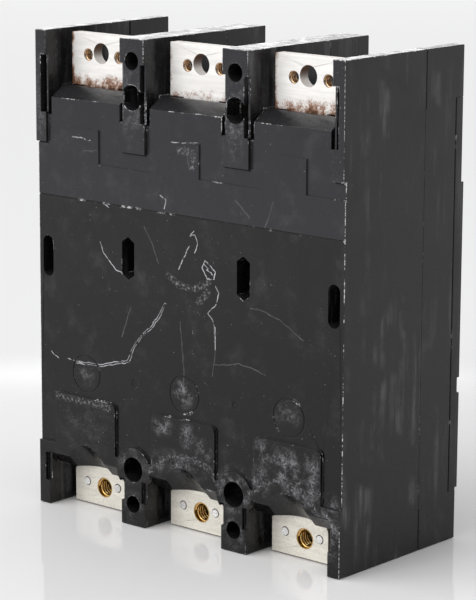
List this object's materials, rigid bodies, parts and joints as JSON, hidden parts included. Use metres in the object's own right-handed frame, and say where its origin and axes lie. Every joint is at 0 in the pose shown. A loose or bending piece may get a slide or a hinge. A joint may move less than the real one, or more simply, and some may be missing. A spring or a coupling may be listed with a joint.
{
  "type": "molded case breaker",
  "caption": "Molded case circuit breaker with side-by-side poles, plated line and load terminals, a toggle handle and an adjustable trip unit.",
  "frame": {"origin": "centre of the four mounting holes, on the mounting face at the back", "axes": "+Z towards the line end, +Y out of the back towards the mounting panel, +X to the right as seen from the front"},
  "size_m": [0.208, 0.1182, 0.257],
  "materials": {
    "case_back": "semi-gloss thermoset, scuffed",
    "case_front": "semi-gloss thermoset",
    "front_plate": "satin",
    "line_plating": "tin plated, tarnished at the edges",
    "load_plating": "warm tin plating",
    "thread_brass": "threaded",
    "rivet_tin": "satin",
    "contact_silver": "satin",
    "arm_copper": "satin",
    "shunt_copper": "braided",
    "crossbar_moulding": "matte",
    "mechanism_steel": "zinc plated",
    "arc_steel": "plain",
    "arc_fibre": "matte",
    "handle_moulding": "satin",
    "spring_steel": "bright",
    "trip_moulding": "matte",
    "button_red": "gloss",
    "magnet_steel": "zinc plated",
    "bimetal_strip": "satin",
    "dial_moulding": "satin",
    "screw_steel": "zinc plated",
    "nut_brass": "plain"
  },
  "bodies": {
    "case": {"base": "case_back", "cover": "case_front", "accessory_cover": "front_plate", "line_conductor_left": "line_plating", "line_conductor_middle": "line_plating", "line_conductor_right": "line_plating", "load_conductor_left": "load_plating", "load_conductor_middle": "load_plating", "load_conductor_right": "load_plating", "load_inserts": "thread_brass", "load_rivets": "rivet_tin", "fixed_contacts": "contact_silver", "arc_plates_left": "arc_steel", "arc_plates_middle": "arc_steel", "arc_plates_right": "arc_steel", "arc_boards": "arc_fibre", "side_plates": "mechanism_steel", "frame_pins": "mechanism_steel", "cradle": "mechanism_steel", "cradle_pin": "mechanism_steel", "magnet_left": "magnet_steel", "magnet_middle": "magnet_steel", "magnet_right": "magnet_steel", "bimetal_left": "bimetal_strip", "bimetal_middle": "bimetal_strip", "bimetal_right": "bimetal_strip", "shunt_left": "shunt_copper", "shunt_middle": "shunt_copper", "shunt_right": "shunt_copper", "cover_screws": "screw_steel", "cover_nuts": "nut_brass", "accessory_screws": "screw_steel", "button_spring": "spring_steel"},
    "crossbar": {"crossbar": "crossbar_moulding", "crossbar_pins": "mechanism_steel", "moving_contacts": "contact_silver", "contact_arm_left": "arm_copper", "contact_arm_middle": "arm_copper", "contact_arm_right": "arm_copper"},
    "handle": {"handle": "handle_moulding", "handle_yoke": "mechanism_steel", "toggle_springs": "spring_steel"},
    "upper_links": {"upper_links": "mechanism_steel", "knee_pin": "mechanism_steel"},
    "lower_links": {"lower_links": "mechanism_steel"},
    "latch": {"latch": "mechanism_steel"},
    "trip_bar": {"trip_bar": "trip_moulding"},
    "trip_button": {"trip_button": "button_red"},
    "armature_left": {"armature_left": "magnet_steel"},
    "armature_middle": {"armature_middle": "magnet_steel"},
    "armature_right": {"armature_right": "magnet_steel"},
    "dial_left": {"dial_left": "dial_moulding"},
    "dial_middle": {"dial_middle": "dial_moulding"},
    "dial_right": {"dial_right": "dial_moulding"}
  },
  "joints": [
    {"name": "handle_swing", "type": "hinge", "parent": "case", "child": "handle", "pos_m": [0, -0.06194, 0.00417], "axis": [-1, 0, 0], "range_deg": [0, 42]},
    {"name": "crossbar_turn", "type": "hinge", "parent": "case", "child": "crossbar", "pos_m": [0, -0.0351, -0.0165], "axis": [-1, 0, 0], "range_deg": [0, 22], "deforming": ["shunt_left", "shunt_middle", "shunt_right"]},
    {"name": "upper_link_swing", "type": "hinge", "parent": "case", "child": "upper_links", "pos_m": [0, -0.0669, 0.0025], "axis": [-1, 0, 0], "range_deg": [0, 28.53]},
    {"name": "lower_link_swing", "type": "hinge", "parent": "crossbar", "child": "lower_links", "pos_m": [0, -0.04184, 0.00019], "axis": [1, 0, 0], "range_deg": [0, 57.47]},
    {"name": "trip_bar_turn", "type": "hinge", "parent": "case", "child": "trip_bar", "pos_m": [0, -0.07, -0.0525], "axis": [1, 0, 0], "range_deg": [0, 12], "stiffness_Nm_per_rad": 0.08, "springref_deg": -11.46},
    {"name": "trip_button_push", "type": "slide", "parent": "case", "child": "trip_button", "axis": [0, 1, 0], "range_m": [0, 0.0029], "stiffness_N_per_m": 0.5, "springref_m": -0.0005, "deforming": ["button_spring"]},
    {"name": "latch_turn", "type": "hinge", "parent": "case", "child": "latch", "pos_m": [0, -0.0815, -0.0415], "axis": [1, 0, 0], "range_deg": [0, 8]},
    {"name": "armature_swing_left", "type": "hinge", "parent": "case", "child": "armature_left", "pos_m": [-0.06985, -0.058, -0.0545], "axis": [1, 0, 0], "range_deg": [0, 6.5], "stiffness_Nm_per_rad": 0.03, "springref_deg": -11.46},
    {"name": "armature_swing_middle", "type": "hinge", "parent": "case", "child": "armature_middle", "pos_m": [0, -0.058, -0.0545], "axis": [1, 0, 0], "range_deg": [0, 6.5], "stiffness_Nm_per_rad": 0.03, "springref_deg": -11.46},
    {"name": "armature_swing_right", "type": "hinge", "parent": "case", "child": "armature_right", "pos_m": [0.06985, -0.058, -0.0545], "axis": [1, 0, 0], "range_deg": [0, 6.5], "stiffness_Nm_per_rad": 0.03, "springref_deg": -11.46},
    {"name": "dial_turn_left", "type": "hinge", "parent": "case", "child": "dial_left", "pos_m": [-0.06985, -0.098, -0.0785], "axis": [0, -1, 0], "range_deg": [-130, 130]},
    {"name": "dial_turn_middle", "type": "hinge", "parent": "case", "child": "dial_middle", "pos_m": [0, -0.098, -0.0785], "axis": [0, -1, 0], "range_deg": [-130, 130]},
    {"name": "dial_turn_right", "type": "hinge", "parent": "case", "child": "dial_right", "pos_m": [0.06985, -0.098, -0.0785], "axis": [0, -1, 0], "range_deg": [-130, 130]}
  ],
  "couplings": [
    {"joint": "crossbar_turn", "follows": "handle_swing", "ratio": 0.52381},
    {"joint": "upper_link_swing", "follows": "handle_swing", "ratio": 0.67939},
    {"joint": "lower_link_swing", "follows": "handle_swing", "ratio": 1.3683},
    {"joint": "trip_button_push", "follows": "trip_bar_turn", "m_per_rad": 0.013845},
    {"joint": "latch_turn", "follows": "trip_bar_turn", "ratio": 0.66667}
  ]
}
